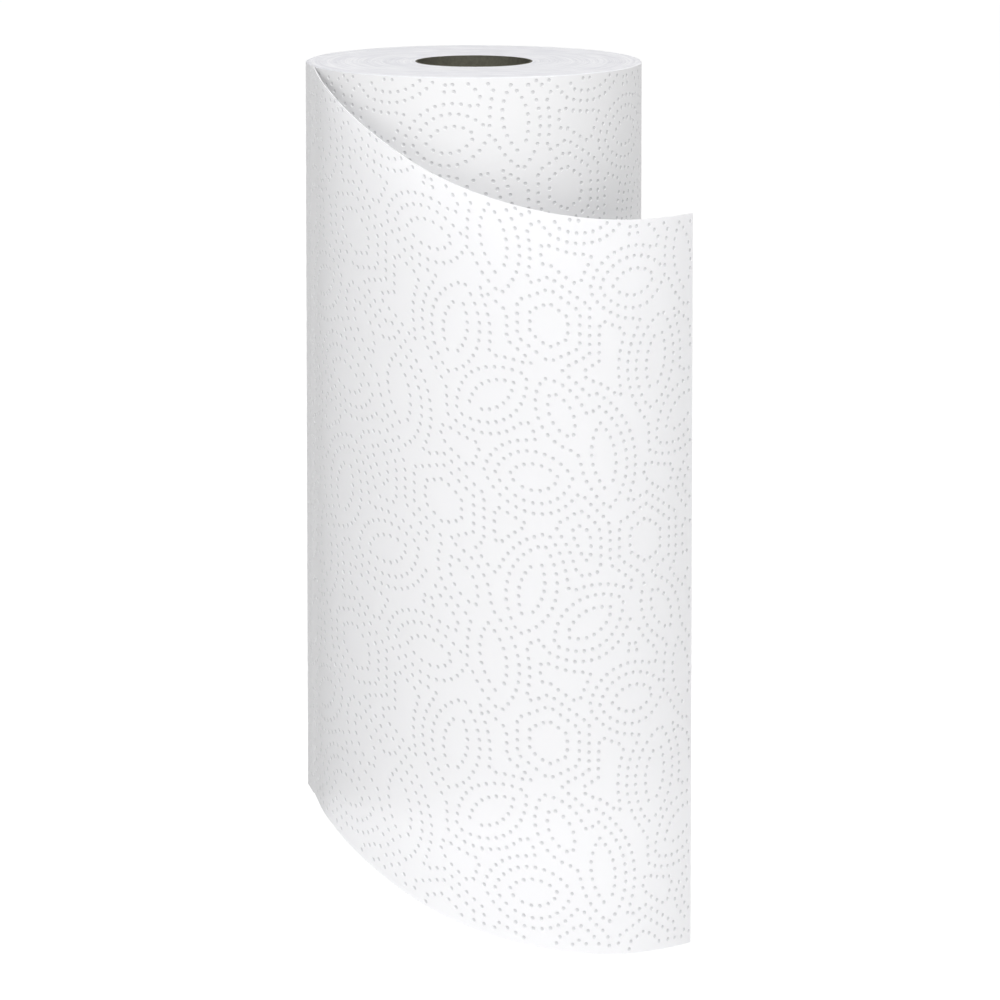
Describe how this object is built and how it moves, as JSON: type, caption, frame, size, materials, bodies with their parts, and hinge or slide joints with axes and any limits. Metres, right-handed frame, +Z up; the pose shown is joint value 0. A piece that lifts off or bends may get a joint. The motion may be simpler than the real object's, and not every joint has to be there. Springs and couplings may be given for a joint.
{
  "type": "paper towel roll",
  "caption": "Upright roll of embossed white paper towel on a board core, with its first sheet pulled loose round the front and hanging lower.",
  "frame": {"origin": "on the roll's axis, at the level of the roll's lower end", "axes": "+Z up along the core, -Y to the front where the loose sheet hangs, +X to the side where its free edge is"},
  "size_m": [0.1467, 0.1433, 0.3327],
  "materials": {
    "core_board": "matt greyboard",
    "towel_paper": "matt embossed tissue"
  },
  "bodies": {
    "root": {"core": "core_board", "paper": "towel_paper"}
  },
  "joints": []
}
